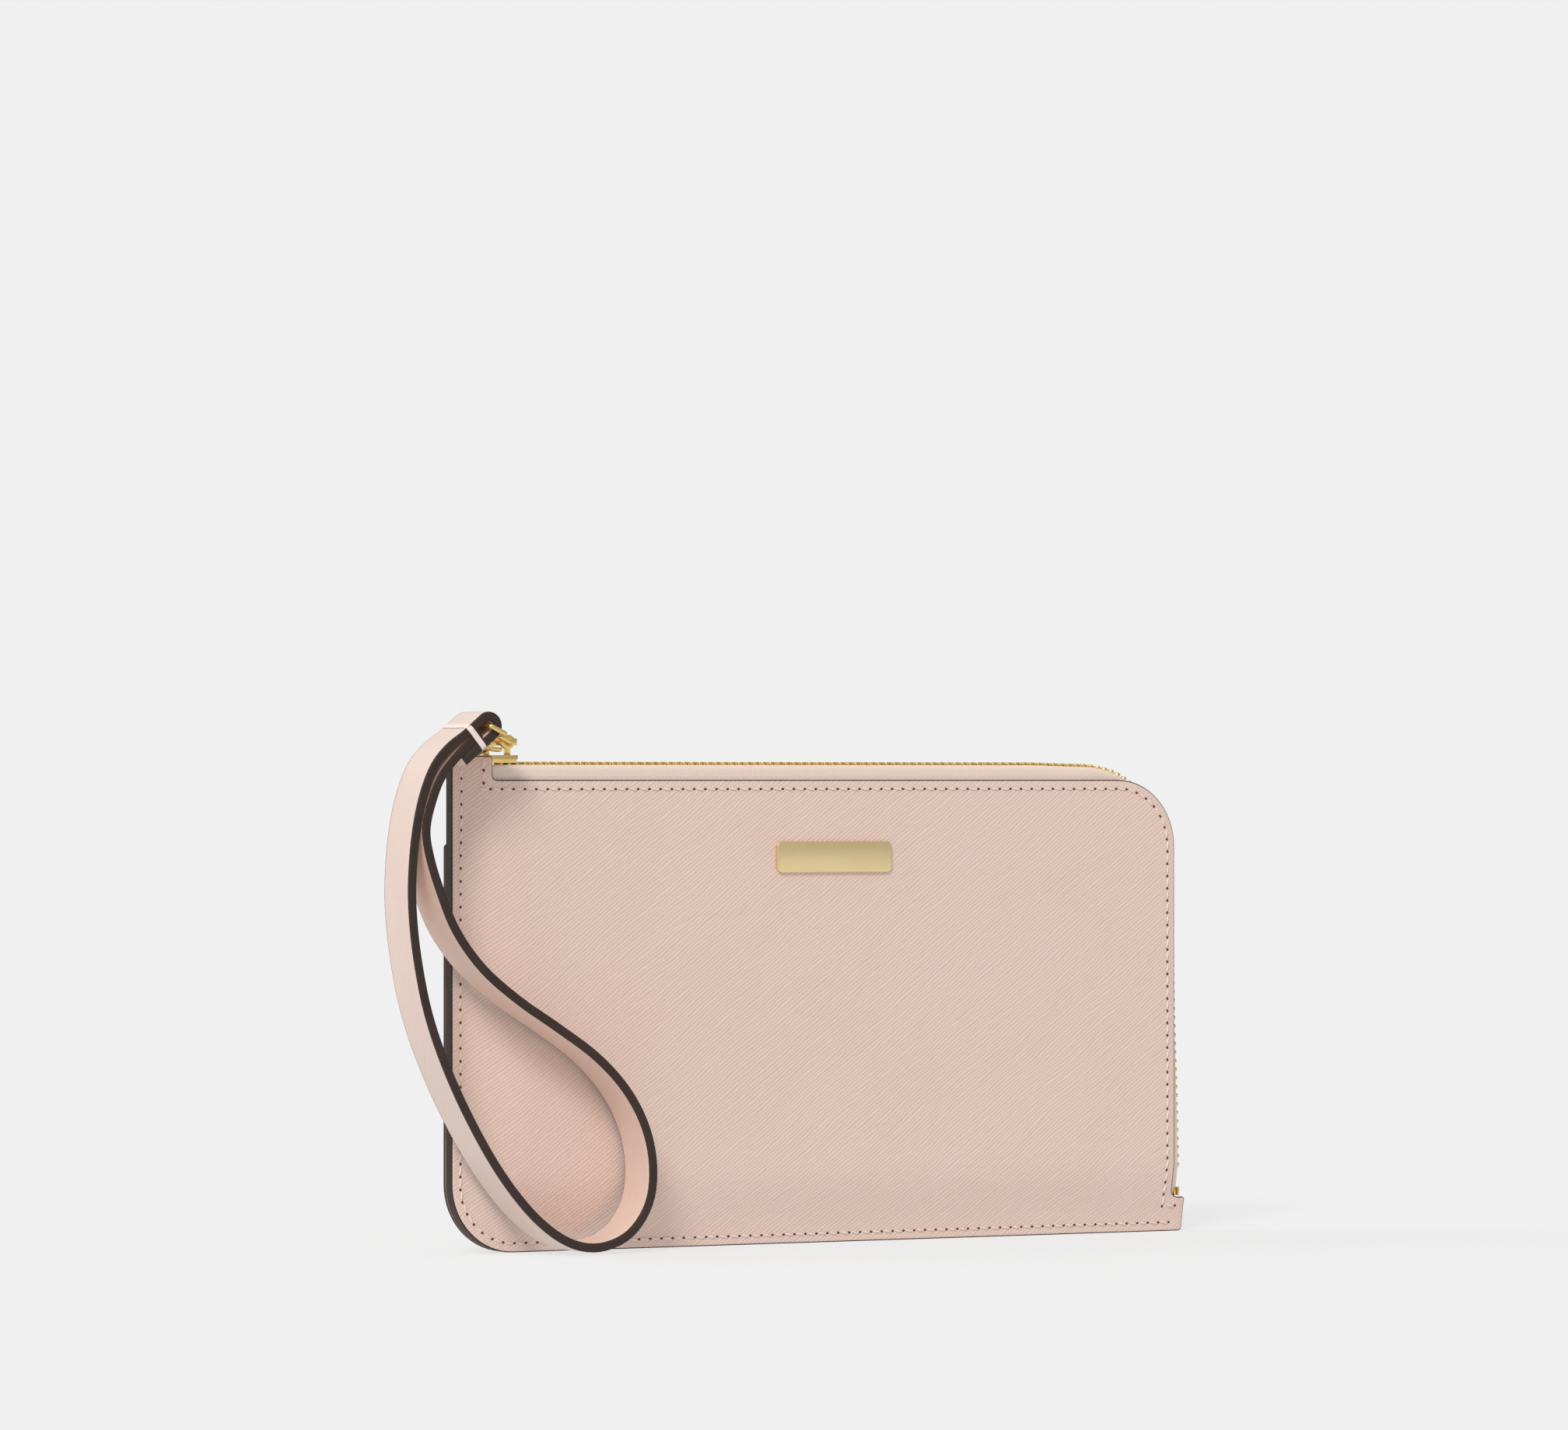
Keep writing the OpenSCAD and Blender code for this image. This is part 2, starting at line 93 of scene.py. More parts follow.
class Wire:
    # a node socket that takes part in arithmetic
    def __init__(self, tree, socket=None):
        self.tree = tree
        self.socket = socket

    def node(self, kind, settings=None, sockets=None, out=0):
        made = self.tree.nodes.new(kind)
        for name, value in (settings or {}).items():
            if name == "stops":
                self.setStops(made.color_ramp, value)
            else:
                setattr(made, name, value)
        for key, value in (sockets or {}).items():
            if isinstance(value, Wire):
                self.tree.links.new(value.socket, made.inputs[key])
            else:
                made.inputs[key].default_value = value
        return Wire(self.tree, made.outputs[out])

    def setStops(self, ramp, stops):
        while len(ramp.elements) < len(stops):
            ramp.elements.new(0.5)
        for element, (place, colour) in zip(ramp.elements, stops):
            element.position = place
            element.color = colour

    def maths(self, operation, *values):
        return self.node("ShaderNodeMath", {"operation": operation}, dict(enumerate(values)))

    def __add__(self, other):
        return self.maths("ADD", self, other)

    def __sub__(self, other):
        return self.maths("SUBTRACT", self, other)

    def __mul__(self, other):
        return self.maths("MULTIPLY", self, other)

    def __rsub__(self, other):
        return self.maths("SUBTRACT", other, self)

    __radd__ = __add__
    __rmul__ = __mul__

    def sine(self):
        return self.maths("SINE", self)

    def size(self):
        return self.maths("ABSOLUTE", self)

    def atMost(self, other):
        return self.maths("MINIMUM", self, other)

    def power(self, other):
        return self.maths("POWER", self, other)

    def wave(self, period):
        return (self * (2 * math.pi / period)).sine() * 0.5 + 0.5

    def step(self, start, finish):
        return self.node("ShaderNodeMapRange", {"interpolation_type": "SMOOTHSTEP"},
                         {0: self, 1: start, 2: finish, 3: 0.0, 4: 1.0})

    def parts(self):
        return [self.node("ShaderNodeSeparateXYZ", {}, {0: self}, i) for i in range(3)]


def noise(root, place, scale, detail=2.0, roughness=0.5):
    return root.node("ShaderNodeTexNoise", {}, {"Vector": place, "Scale": scale, "Detail": detail,
                                                "Roughness": roughness}, "Fac")


def mixed(root, factor, first, second):
    return root.node("ShaderNodeMix", {"data_type": "RGBA"}, {0: factor, 6: first, 7: second}, 2)


def colour(red, green, blue):      # display values out of 255 to a linear colour
    def linear(v):
        v = v / 255
        return v / 12.92 if v <= 0.04045 else ((v + 0.055) / 1.055) ** 2.4
    return (linear(red), linear(green), linear(blue), 1.0)


def startMaterial(name):
    material = bpy.data.materials.new(name)
    material.use_nodes = True
    root = Wire(material.node_tree)
    place = root.node("ShaderNodeTexCoord", {}, {}, "Object")
    return material, root, place


def finish(material, root, **values):
    shader = material.node_tree.nodes["Principled BSDF"]
    for name, value in values.items():
        socket = shader.inputs[name.replace("_", " ")]
        if isinstance(value, Wire):
            root.tree.links.new(value.socket, socket)
        else:
            socket.default_value = value
    return material


def bump(root, height, distance, strength=1.0):
    return root.node("ShaderNodeBump", {}, {"Strength": strength, "Distance": distance,
                                            "Height": height}, "Normal")


# leather with a fine diagonal cross grain; the hollows of the grain are painted darker, as painted shade

hatch = {
    "angle": math.radians(37),
    "spacing": 0.86,        # millimetres between two diagonal lines
    "crossSpacing": 0.74,
    "wander": 1.0,          # how far the lines drift apart and run together
    "depth": 0.075 * mm,
}


def grainHeight(root, u, v, place):
    across = v * math.cos(hatch["angle"]) - u * math.sin(hatch["angle"])
    along = u * math.cos(hatch["angle"]) + v * math.sin(hatch["angle"])
    streaked = root.node("ShaderNodeCombineXYZ", {}, {0: along * 0.11, 1: across * 0.5})
    drift = noise(root, streaked, 1.0, 2.0) * hatch["wander"] + noise(root, place, 40.0, 1.0) * 2.0
    pressed = root.node("ShaderNodeCombineXYZ", {}, {0: along * 0.2, 1: across * 1.3, 2: 7.0})
    press = noise(root, pressed, 1.0, 2.0)
    ridge = (across + drift).wave(hatch["spacing"]).power(0.55) * (press * 0.7 + 0.48)
    cut = (along * 0.93 - across * 0.42 + drift * 0.8).wave(hatch["crossSpacing"])
    fine = noise(root, place, 2600.0, 2.0)
    return ridge * 0.72 + cut * (1.1 - press) * 0.26 + fine * 0.16


def leather(name, tone, shade, margins=None, useUv=False, coat=0.12, depth=1.0):
    # margins are left, bottom, right, top: the grain is flatter along a stitched edge
    material, root, place = startMaterial(name)
    if useUv:
        along, wide = root.node("ShaderNodeUVMap", {"uv_map": "run"}).parts()[:2]
        u = along * perMetre
        v = wide * perMetre
    else:
        x, y, z = place.parts()
        u = x * perMetre
        v = z * perMetre
    height = grainHeight(root, u, v, place)
    cloud = noise(root, place, 9.0, 3.0, 0.55)
    # the shade colour fills the low parts of the grain: painted shade in its hollows
    tint = mixed(root, height.step(0.12, 0.72), shade, tone)
    tint = mixed(root, (cloud - 0.5).size() * 0.35, tint, (1.0, 0.93, 0.88, 1.0))
    if margins:
        inside = (u - margins[0]).atMost(v - margins[1]).atMost(margins[2] - u).atMost(margins[3] - v)
        height = height * (inside.step(1.6, 3.6) * 0.55 + 0.45)
    if useUv:
        half = (strapHigh.y - strapLow.y) / 2 * perMetre
        rim = (v.size() - half).step(-0.72, -0.42)
        tint = mixed(root, rim * 0.6, tint, colour(168, 100, 70))
    rough = 0.44 + (1.0 - height) * 0.08 + cloud * 0.06
    return finish(material, root, Base_Color=tint, Roughness=rough, Coat_Weight=coat, Coat_Roughness=0.42,
                  Specular_IOR_Level=0.42, Normal=bump(root, height, hatch["depth"] * depth))


def edgePaint():
    material, root, place = startMaterial("edgePaint")
    grain = noise(root, place, 900.0, 3.0)
    drift = noise(root, place, 70.0, 2.0)
    tint = mixed(root, drift, colour(44, 32, 29), colour(60, 46, 41))
    return finish(material, root, Base_Color=tint, Roughness=0.5 + grain * 0.2,
                  Specular_IOR_Level=0.28, Normal=bump(root, grain + drift, 0.05 * mm))


def suede():
    material, root, place = startMaterial("leatherBack")
    nap = noise(root, place, 1800.0, 4.0, 0.7)
    tint = mixed(root, nap, colour(176, 138, 120), colour(208, 176, 158))
    return finish(material, root, Base_Color=tint, Roughness=0.85 + nap * 0.1,
                  Normal=bump(root, nap, 0.08 * mm))


def thread():
    material, root, place = startMaterial("thread")
    x, y, z = place.parts()
    strand = ((x + z) * perMetre).wave(0.42)
    tint = mixed(root, strand, colour(226, 200, 188), colour(249, 236, 228))
    return finish(material, root, Base_Color=tint, Roughness=0.5 - strand * 0.1,
                  Normal=bump(root, strand, 0.06 * mm))


# needle holes are drawn as dark beads on the leather: painted shade standing in for the shadow inside each
# hole, mottled at random
def needleHoleShade():
    material, root, place = startMaterial("needleHoleShade")
    shadeMottle = noise(root, place, 1500.0, 2.0)
    tint = mixed(root, shadeMottle, colour(58, 34, 27), colour(104, 72, 60))
    return finish(material, root, Base_Color=tint, Roughness=0.9 - shadeMottle * 0.1,
                  Normal=bump(root, shadeMottle, 0.03 * mm))


def tapeCloth():
    material, root, place = startMaterial("zipTape")
    along, wide = root.node("ShaderNodeUVMap", {"uv_map": "run"}).parts()[:2]
    u = along * perMetre
    v = wide * perMetre
    rib = (u + v * 0.9).wave(0.62)
    cross = (u - v * 0.9).wave(0.62)
    fuzz = noise(root, place, 3000.0, 3.0)
    weave = rib * cross * 0.8 + fuzz * 0.3
    tint = mixed(root, weave.step(0.05, 0.8), colour(222, 196, 181), colour(251, 235, 222))
    return finish(material, root, Base_Color=tint, Roughness=0.78 + fuzz * 0.12, Sheen_Weight=0.15,
                  Normal=bump(root, weave, 0.09 * mm))


def liningCloth():
    material, root, place = startMaterial("liningCloth")
    x, y, z = place.parts()
    weave = (x * perMetre).wave(0.5) * 0.5 + (z * perMetre).wave(0.5) * 0.5
    fuzz = noise(root, place, 2200.0, 3.0)
    tint = mixed(root, weave * 0.6 + fuzz * 0.4, colour(176, 138, 126), colour(214, 182, 168))
    return finish(material, root, Base_Color=tint, Roughness=0.74 + fuzz * 0.15,
                  Normal=bump(root, weave + fuzz * 0.5, 0.06 * mm))


def fibreBoard():
    material, root, place = startMaterial("fibreBoard")
    pulp = noise(root, place, 500.0, 4.0, 0.7)
    tint = mixed(root, pulp, colour(178, 166, 146), colour(206, 196, 178))
    return finish(material, root, Base_Color=tint, Roughness=0.8 + pulp * 0.15,
                  Normal=bump(root, pulp, 0.05 * mm))


def plated(name, bright, deep, roughness, scratch):
    material, root, place = startMaterial(name)
    cloud = noise(root, place, 110.0, 2.0)
    fine = noise(root, place, 2400.0, 2.0)
    tint = mixed(root, cloud, deep, bright)
    return finish(material, root, Base_Color=tint, Metallic=1.0, Roughness=roughness + fine * scratch,
                  Normal=bump(root, fine, 0.004 * mm))


def keeperPlastic():
    material, root, place = startMaterial("keeperBand")
    cloud = noise(root, place, 700.0, 3.0)
    tint = mixed(root, cloud, colour(226, 208, 200), colour(238, 222, 214))
    return finish(material, root, Base_Color=tint, Roughness=0.32 + cloud * 0.15,
                  Normal=bump(root, cloud, 0.04 * mm))


left, panelTop, panelRight = (wallet[k] / mm for k in ("left", "panelTop", "panelRight"))
frontMargins = (left, 0.0, panelRight, panelTop)
pocketMargins = (left, 0.0, panelRight, wallet["pocketTop"] / mm)
blush, blushShade = colour(226, 199, 186), colour(208, 179, 165)
panelLeather = leather("panelLeather", blush, blushShade, frontMargins)
pocketLeather = leather("pocketLeather", blush, blushShade, pocketMargins)
strapLeather = leather("strapLeather", colour(222, 200, 189), colour(209, 185, 173),
                       useUv=True, coat=0.25, depth=0.6)
strapLining = leather("strapLining", colour(231, 205, 190), colour(218, 189, 174), useUv=True, depth=0.6)
cardLeather = leather("cardLeather", colour(222, 192, 178), colour(200, 166, 150), coat=0.05)
edge = edgePaint()
backing = suede()
stitchThread = thread()
holeShade = needleHoleShade()
tapeWeave = tapeCloth()
liningWeave = liningCloth()
board = fibreBoard()
teethGold = plated("teethGold", colour(240, 212, 138), colour(226, 190, 108), 0.22, 0.1)
gold = plated("hardwareGold", colour(238, 210, 140), colour(224, 190, 112), 0.15, 0.08)
plateGold = plated("plateGold", colour(243, 220, 172), colour(236, 210, 156), 0.24, 0.1)
steel = plated("springSteel", colour(190, 190, 194), colour(150, 150, 156), 0.25, 0.1)
keeper = keeperPlastic()
print("materials ready")


# helpers for meshes

def smooth(t):
    t = min(max(t, 0.0), 1.0)
    return t * t * (3 - 2 * t)


def halfThick(x, z):
    # half thickness of the body: thin at the left and bottom rims, full over the middle
    w = wallet
    near = w["swell"] + (w["swellTop"] - w["swell"]) * smooth((z - w["swellFrom"]) / w["swellOver"])
    rise = smooth((x - w["left"]) / near) * smooth(z / w["swell"])
    return w["rim"] + (w["mid"] - w["rim"]) * rise


def faceOut(bm):
    bm.normal_update()
    bmesh.ops.recalc_face_normals(bm, faces=bm.faces[:])
    bm.normal_update()
    bm.faces.ensure_lookup_table()


def addObject(name, bm, materials, body, nodes=(), slot=None, sharp=40):
    mesh = bpy.data.meshes.new(name)
    faceOut(bm)
    bm.to_mesh(mesh)
    bm.free()
    for material in materials:
        mesh.materials.append(material)
    mesh.shade_smooth()
    mesh.set_sharp_from_angle(angle=math.radians(sharp))
    piece = bpy.data.objects.new(name, mesh)
    bpy.context.scene.collection.objects.link(piece)
    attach(piece, body)
    if nodes:
        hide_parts(*nodes)
    return piece


def sheetFace(outline, bands=()):
    # one face in the x-z plane from corners given as x, z, radius, with rolled bands along its edge
    bm = bmesh.new()
    drop = bm.verts.layers.float.new("drop")
    face = bm.faces.new([bm.verts.new((x, 0, z)) for x, z, radius in outline])
    for vert, (x, z, radius) in zip(face.verts[:], outline):
        if radius:
            bmesh.ops.bevel(bm, geom=[vert], offset=radius, offset_type="OFFSET",
                            segments=max(3, round(16 * radius / wallet["cornerR"])), profile=0.5,
                            affect="VERTICES", material=-1)
    bm.faces.ensure_lookup_table()
    face = bm.faces[0]
    for i, (width, fall) in enumerate(bands):
        for vert in face.verts:
            vert[drop] = fall
        ring = bmesh.ops.inset_region(bm, faces=[face], thickness=width, use_boundary=True,
                                      use_even_offset=True)["faces"]
        for made in ring:
            made.material_index = 1 if i == 0 else 0
    for vert in face.verts:
        vert[drop] = 0.0
    return bm


def cutGrid(bm, xs, zs):
    for value, normal in [(x, (1, 0, 0)) for x in xs] + [(z, (0, 0, 1)) for z in zs]:
        bmesh.ops.bisect_plane(bm, geom=bm.verts[:] + bm.edges[:] + bm.faces[:], dist=1e-7,
                               plane_co=(value * normal[0], 0, value * normal[2]), plane_no=normal)


grid = {"fine": 1.9 * mm, "coarse": 5.1 * mm, "fineTo": 24 * mm}


def gridLines(start, finish):
    values = []
    at = start + grid["fine"] * 0.53
    while at < finish:
        values.append(at)
        at += grid["fine"] if at - start < grid["fineTo"] else grid["coarse"]
    return values


def layerPiece(name, outline, depths, side, materials, nodes, slot, bands=()):
    # a layer of the body between two depths below its surface, on the front (-1) or back (1)
    bm = sheetFace(outline, bands)
    drop = bm.verts.layers.float["drop"]
    cutGrid(bm, gridLines(wallet["left"], wallet["right"]), gridLines(0.0, wallet["top"]))
    outer = bm.faces[:]
    made = bmesh.ops.extrude_face_region(bm, geom=outer, use_keep_orig=True)["geom"]
    innerVerts = {g for g in made if isinstance(g, bmesh.types.BMVert)}
    innerFaces = {g for g in made if isinstance(g, bmesh.types.BMFace)}
    for face in bm.faces:
        if face in innerFaces:
            face.material_index = 2
        elif face not in outer:
            face.material_index = 1
    for vert in bm.verts:
        sunk = depths[1] if vert in innerVerts else depths[0] + vert[drop]
        vert.co.y = side * (halfThick(vert.co.x, vert.co.z) - sunk)
    return addObject(name, bm, materials, "wallet_body", nodes, slot)


def rounded(points, radii, closed=False, count=8):
    # a line through corners, with each corner rounded to its radius
    line = []
    total = len(points)
    for i, (here, radius) in enumerate(zip(points, radii)):
        if not radius or (not closed and i in (0, total - 1)):
            line.append(here)
            continue
        before = (points[i - 1] - here).normalized()
        after = (points[(i + 1) % total] - here).normalized()
        half = before.angle(after) / 2
        centre = here + (before + after).normalized() * (radius / math.sin(half))
        first = here + before * (radius / math.tan(half)) - centre
        axis = before.cross(after)
        for k in range(count + 1):
            turn = Matrix.Rotation(-(math.pi - 2 * half) * k / count, 3, axis)
            line.append(centre + turn @ first)
    return line


def wirePiece(name, points, radius, material, body, nodes, cyclic=True):
    curve = bpy.data.curves.new(name, "CURVE")
    curve.dimensions = "3D"
    curve.bevel_depth = radius
    curve.bevel_resolution = 5
    curve.use_fill_caps = not cyclic
    spline = curve.splines.new("POLY")
    spline.points.add(len(points) - 1)
    for knot, point in zip(spline.points, points):
        knot.co = (*point, 1.0)
    spline.use_cyclic_u = cyclic
    spline.use_smooth = True
    curve.materials.append(material)
    piece = bpy.data.objects.new(name, curve)
    bpy.context.scene.collection.objects.link(piece)
    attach(piece, body)
    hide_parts(*nodes)
    return piece


def spaced(line, pitch, start):
    # evenly spaced places and directions along a line
    places = []
    due = start
    walked = 0.0
    for a, b in zip(line, line[1:]):
        length = (b - a).length
        while length > 0 and due <= walked + length:
            places.append((a + (b - a) * ((due - walked) / length), (b - a) / length))
            due += pitch
        walked += length
    return places


def bead(bm, point, along, normal, lengths, count=(8, 5)):
    across = normal.cross(along).normalized()
    turned = Matrix((along * lengths[0], across * lengths[1], normal * lengths[2])).transposed()
    bmesh.ops.create_uvsphere(bm, u_segments=count[0], v_segments=count[1], radius=0.5,
                              matrix=Matrix.Translation(point) @ turned.to_4x4())


def refined(node, name, material, body, slot, bevel=0.0, segments=2, angle=35):
    # the frame's own shape with its corners eased
    bm = bmesh.new()
    bm.from_mesh(frame["nodes"][node].data)
    bmesh.ops.remove_doubles(bm, verts=bm.verts[:], dist=0.002 * mm)
    bmesh.ops.dissolve_limit(bm, angle_limit=math.radians(0.8), verts=bm.verts[:], edges=bm.edges[:])
    if bevel:
        sharp = [e for e in bm.edges if len(e.link_faces) == 2
                 and e.calc_face_angle(0.0) > math.radians(angle)]
        bmesh.ops.bevel(bm, geom=sharp, offset=bevel, offset_type="OFFSET", segments=segments,
                        profile=0.5, affect="EDGES", clamp_overlap=True, material=-1)
    return addObject(name, bm, [material], body, [node], slot, sharp=45)


# leather body

def panelCorners(tall=True):
    w = wallet
    points = [(w["left"], 0, w["cornerR"]), (w["right"], 0, 1.2 * mm), (w["right"], w["tabH"], 0.8 * mm),
              (w["panelRight"], w["tabH"], 2.2 * mm)]
    if tall:
        return points + [(w["panelRight"], w["panelTop"], w["cornerR"]),
                         (w["left"] + w["tabW"], w["panelTop"], 1.2 * mm),
                         (w["left"] + w["tabW"], w["top"], 0.8 * mm), (w["left"], w["top"], 0.8 * mm)]
    return points + [(w["panelRight"], w["pocketTop"], 1.0 * mm), (w["left"], w["pocketTop"], 1.0 * mm)]


stopLow, stopHigh = corners("zip_top_stops")
toothHalf = (stopHigh.z - stopLow.z) / 2
zipLine = {
    "top": teethHigh.z - toothHalf,
    "right": teethHigh.x - toothHalf,
    "bend": 30 * mm,
    "startX": wallet["left"] + 4.0 * mm,
    "endZ": 4.0 * mm,
    "toothPitch": 2.3 * mm,
    "firstTooth": wallet["left"] + 13.5 * mm,
    "lastTooth": 13.0 * mm,
    "tapeW": 15 * mm,
}
zipLine["bendX"] = zipLine["right"] - zipLine["bend"]
zipLine["bendZ"] = zipLine["top"] - zipLine["bend"]


def innerCorners(inset):
    w, strip = wallet, 4.0 * mm
    return [(w["left"], 0, w["cornerR"]), (w["right"], 0, 1.2 * mm), (w["right"], strip, 0),
            (zipLine["right"] - inset, strip, 0),
            (zipLine["right"] - inset, zipLine["top"] - inset, zipLine["bend"] - inset),
            (w["left"] + strip, zipLine["top"] - inset, 0), (w["left"] + strip, w["top"], 0),
            (w["left"], w["top"], 0.8 * mm)]


skin, boardT, liningT = wallet["skin"], wallet["board"], wallet["lining"]
rolled = ((0.27 * mm, 0.34 * mm), (0.3 * mm, 0.1 * mm))
for place, side in (("front", -1), ("back", 1)):
    layerPiece(place + "Panel", panelCorners(), (0, skin), side, [panelLeather, edge, backing],
               [place + "_panel"], "leather", rolled)
    layerPiece(place + "Board", innerCorners(15.3 * mm), (skin, skin + boardT), side,
               [board, edge, board], [place + "_board"], "board")
    layerPiece(place + "Lining", innerCorners(5 * mm), (skin + boardT, skin + boardT + liningT), side,
               [liningWeave, edge, liningWeave], [place + "_lining"], "lining")
pocketStep = ((0.35 * mm, 0.62 * mm), (0.4 * mm, 0.2 * mm))
layerPiece("backPocketPanel", panelCorners(False), (-wallet["pocketSkin"], -0.4 * mm), 1,
           [pocketLeather, edge, backing], ["back_pocket_panel"], "leather", pocketStep)
layerPiece("backPocketLining", panelCorners(False), (-0.4 * mm, 0), 1,
           [liningWeave, edge, liningWeave], ["back_pocket_lining"], "lining")
print("leather body made")

for i in (1, 2, 3):
    low, high = corners("card_slot_%d" % i)
    bm = sheetFace([(low.x, low.z, 3 * mm), (high.x, low.z, 3 * mm), (high.x, high.z, 1.5 * mm),
                    (low.x, high.z, 1.5 * mm)], ((0.15 * mm, 0.0),))
    bmesh.ops.translate(bm, verts=bm.verts[:], vec=(0, low.y, 0))
    sheet = bmesh.ops.extrude_face_region(bm, geom=bm.faces[:], use_keep_orig=True)["geom"]
    bmesh.ops.translate(bm, verts=[g for g in sheet if isinstance(g, bmesh.types.BMVert)],
                        vec=(0, high.y - low.y, 0))
    addObject("cardSlot%d" % i, bm, [cardLeather, edge], "wallet_body", ["card_slot_%d" % i], "card_leather")


# stitching

stitch = {
    "pitch": 3.25 * mm,
    "inset": 2.35 * mm,
    "thread": (2.62 * mm, 0.56 * mm, 0.6 * mm),
    "proud": 0.13 * mm,
    "hole": (0.86 * mm, 0.72 * mm, 0.2 * mm),
    "lean": math.radians(11),
}


def seamLines(pocket):
    w, inset = wallet, stitch["inset"]
    turn = w["cornerR"] - inset
    edgeTop = w["pocketTop"] if pocket else w["top"]
    outer = ([(w["left"] + inset, edgeTop - 2.5 * mm), (w["left"] + inset, inset),
              (w["right"] - 4.3 * mm, inset)], [0, turn, 0])
    window = ([(w["left"] + w["tabW"] - inset, w["top"] - 0.4 * mm),
               (w["left"] + w["tabW"] - inset, w["panelTop"] - inset),
               (w["panelRight"] - inset, w["panelTop"] - inset),
               (w["panelRight"] - inset, w["tabH"] - inset), (w["right"] - 3.2 * mm, w["tabH"] - inset)],
              [0, 0, turn, 1.5 * mm, 0])
    if pocket:
        window = ([(w["panelRight"] - inset, w["pocketTop"] - 2.5 * mm), window[0][3], window[0][4]],
                  [0, 1.5 * mm, 0])
    for points, radii in (outer, window):
        yield rounded([Vector((x, 0, z)) for x, z in points], radii, count=14)


def sewSeams(name, side, depth, pocket):
    threads = bmesh.new()
    holes = bmesh.new()
    rng = random.Random(11 + side)

    def onSurface(point):
        return Vector((point.x, side * (halfThick(point.x, point.z) + depth), point.z))

    def outward(point):
        step = 0.5 * mm
        here = onSurface(point)
        normal = (onSurface(point + Vector((step, 0, 0))) - here).cross(
            onSurface(point + Vector((0, 0, step))) - here).normalized()
        return normal if normal.y * side > 0 else -normal

    for line in seamLines(pocket):
        for point, along in spaced(line, stitch["pitch"], stitch["pitch"] * 0.5):
            if depth == 0 and side > 0 and point.z < wallet["pocketTop"] + 1 * mm:
                continue        # covered by the pocket
            normal = outward(point)
            flat = (along - normal * along.dot(normal)).normalized()
            lean = Matrix.Rotation(side * (stitch["lean"] + rng.uniform(-0.05, 0.05)), 3, normal)
            bead(threads, onSurface(point) + normal * stitch["proud"], lean @ flat, normal, stitch["thread"])
            # each needle hole is a dark bead, painted shade in place of the hole's shadow
            hole = point + along * stitch["pitch"] * 0.5
            bead(holes, onSurface(hole), flat, normal, stitch["hole"])
    addObject(name + "Thread", threads, [stitchThread], "wallet_body")
    addObject(name + "NeedleHoles", holes, [holeShade], "wallet_body")


sewSeams("front", -1, 0.0, False)
sewSeams("back", 1, 0.0, False)
sewSeams("pocket", 1, wallet["pocketSkin"], True)
print("stitching made")


# zip

def zipRun(x, z):       # distance along the line of teeth
    if x < zipLine["bendX"]:
        return x
    turn = math.atan2(max(x - zipLine["bendX"], 0.0), max(z - zipLine["bendZ"], 1e-9))
    if z >= zipLine["bendZ"]:
        return zipLine["bendX"] + turn * zipLine["bend"]
    return zipLine["bendX"] + math.pi / 2 * zipLine["bend"] + zipLine["bendZ"] - z


tape = {
    "thick": 0.45 * mm,
    "halfW": 4.35 * mm,
    # the section of the tape, as distance from the middle and depth inside the line of teeth
    "section": [(0.55, 0.02), (1.2, 0.0), (2.0, -0.02), (2.7, -0.08), (3.2, -0.04), (3.6, 0.14), (3.88, 0.45),
                (4.02, 0.9), (4.08, 1.4), (4.1, 2.0), (4.14, 2.7), (4.2, 3.4), (4.25, 4.2), (4.3, 5.2),
                (4.3, 7.0), (4.3, 10.0), (4.3, 12.5), (4.3, 15.0)],
    "pull": 1.5 * mm,       # how far the upright run is pulled in under the panel
    "pullFrom": 14 * mm,
    "pullOver": 62 * mm,
    "fall": 0.38 * mm,      # how far the top sinks, and where that starts before the bend
    "fallBefore": 17 * mm,
    "fallOver": 18 * mm,
    "fallEnd": 31 * mm,
    "fallFade": 11 * mm,
}


def pulled(x, z):
    return tape["pull"] * (smooth((z - tape["pullFrom"]) / tape["pullOver"])
                           * smooth((x - zipLine["bendX"]) / zipLine["bend"]))


def lowered(x, z):
    start = zipLine["bendX"] - tape["fallBefore"]
    return tape["fall"] * (smooth((x - start) / tape["fallOver"])
                           * smooth((start + tape["fallEnd"] - x) / tape["fallFade"])
                           * smooth((z - 100 * mm) / (10 * mm)))        # only along the top


